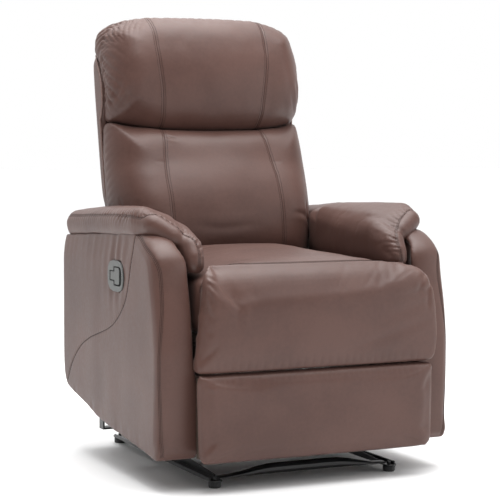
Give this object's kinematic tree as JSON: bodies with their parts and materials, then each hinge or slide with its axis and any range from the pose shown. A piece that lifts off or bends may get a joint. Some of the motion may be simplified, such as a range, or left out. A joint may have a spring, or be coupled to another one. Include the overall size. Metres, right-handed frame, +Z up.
{
  "type": "recliner armchair",
  "caption": "Manual recliner armchair with padded back and head cushions, padded arms, fold-out footrest on a steel linkage and a pull handle in the side.",
  "frame": {"origin": "on the floor, under the middle of the closed chair", "axes": "+Z up, the front of the chair faces -Y, +X is on the sitter's left"},
  "size_m": [0.7224, 0.758, 1.0614],
  "materials": {
    "leather": "satin, fine grain, double stitched",
    "plywood": "raw",
    "black_steel": "satin",
    "spring_steel": "dull",
    "grey_plastic": "fine texture",
    "black_plastic": "matte"
  },
  "bodies": {
    "base": {"base_rail_left": "black_steel", "base_rail_right": "black_steel", "front_cross_tube": "black_steel", "rear_cross_tube": "black_steel", "foot_front_left": "black_plastic", "foot_front_right": "black_plastic", "foot_rear_left": "black_plastic", "foot_rear_right": "black_plastic", "outrigger_front": "black_steel", "outrigger_rear": "black_steel", "rear_stretcher": "plywood", "rear_panel": "leather", "arm_frame_left": "plywood", "arm_frame_right": "plywood", "arm_upholstery_left": "leather", "arm_upholstery_right": "leather", "armrest_pad_left": "leather", "armrest_pad_right": "leather", "handle_bezel": "grey_plastic", "release_cable": "black_plastic", "latch_housing": "black_steel"},
    "handle": {"handle_lever": "grey_plastic"},
    "front_swing": {"swing_link_front_left": "black_steel", "swing_link_front_right": "black_steel"},
    "rear_swing": {"swing_link_rear_left": "black_steel", "swing_link_rear_right": "black_steel"},
    "seat": {"seat_plate_left": "black_steel", "seat_plate_right": "black_steel", "seat_frame_left": "plywood", "seat_frame_right": "plywood", "seat_front_rail": "plywood", "seat_rear_rail": "plywood", "seat_spring_1": "spring_steel", "seat_spring_2": "spring_steel", "seat_spring_3": "spring_steel", "seat_spring_4": "spring_steel", "seat_cushion": "leather"},
    "back": {"back_post_left": "plywood", "back_post_right": "plywood", "back_bottom_rail": "plywood", "back_middle_rail": "plywood", "back_top_rail": "plywood", "back_bracket_left": "black_steel", "back_bracket_right": "black_steel", "back_cushion": "leather", "head_cushion": "leather", "back_cover": "leather"},
    "drive_links": {"drive_link_left": "black_steel", "drive_link_right": "black_steel", "drive_tube": "black_steel"},
    "long_links": {"long_link_left": "black_steel", "long_link_right": "black_steel"},
    "control_links": {"control_link_left": "black_steel", "control_link_right": "black_steel"},
    "tilt_links": {"tilt_link_left": "black_steel", "tilt_link_right": "black_steel"},
    "footrest": {"footrest_bracket_left": "black_steel", "footrest_bracket_right": "black_steel", "footrest_board": "plywood", "footrest_pad": "leather"}
  },
  "joints": [
    {"name": "seat_swing", "type": "hinge", "parent": "base", "child": "front_swing", "pos_m": [0, -0.037, 0.038], "axis": [1, 0, 0], "range_deg": [0, 12.3]},
    {"name": "seat_level", "type": "hinge", "parent": "front_swing", "child": "seat", "pos_m": [0, -0.019, 0.225], "axis": [-1, 0, 0], "range_deg": [0, 12.3]},
    {"name": "rear_swing", "type": "hinge", "parent": "base", "child": "rear_swing", "pos_m": [0, 0.177, 0.038], "axis": [1, 0, 0], "range_deg": [0, 12.3]},
    {"name": "back_recline", "type": "hinge", "parent": "seat", "child": "back", "pos_m": [0, 0.19, 0.33], "axis": [-1, 0, 0], "range_deg": [0, 38]},
    {"name": "footrest_open", "type": "hinge", "parent": "seat", "child": "drive_links", "pos_m": [0, -0.178, 0.239], "axis": [-1, 0, 0], "range_deg": [0, 110]},
    {"name": "long_link_turn", "type": "hinge", "parent": "drive_links", "child": "long_links", "pos_m": [0, -0.09219, 0.08419], "axis": [1, 0, 0], "range_deg": [0, 108.1]},
    {"name": "footrest_turn", "type": "hinge", "parent": "long_links", "child": "footrest", "pos_m": [0, -0.3079, 0.1894], "axis": [-1, 0, 0], "range_deg": [0, 84.1]},
    {"name": "tilt_link_turn", "type": "hinge", "parent": "drive_links", "child": "tilt_links", "pos_m": [0, -0.11021, 0.1167], "axis": [1, 0, 0], "range_deg": [0, 108.15]},
    {"name": "control_link_turn", "type": "hinge", "parent": "seat", "child": "control_links", "pos_m": [0, -0.131, 0.21644], "axis": [-1, 0, 0], "range_deg": [0, 109.45]},
    {"name": "handle_pull", "type": "hinge", "parent": "base", "child": "handle", "pos_m": [-0.3535, -0.043, 0.449], "axis": [0, 0, -1], "range_deg": [0, 24], "stiffness_Nm_per_rad": 0.6}
  ],
  "couplings": [
    {"joint": "seat_swing", "follows": "back_recline", "ratio": 0.3211},
    {"joint": "seat_level", "follows": "back_recline", "ratio": 0.3211},
    {"joint": "rear_swing", "follows": "back_recline", "ratio": 0.3211},
    {"joint": "long_link_turn", "follows": "footrest_open", "ratio": 0.9818},
    {"joint": "footrest_turn", "follows": "footrest_open", "ratio": 0.7636},
    {"joint": "tilt_link_turn", "follows": "footrest_open", "ratio": 0.9822},
    {"joint": "control_link_turn", "follows": "footrest_open", "ratio": 0.9941}
  ]
}
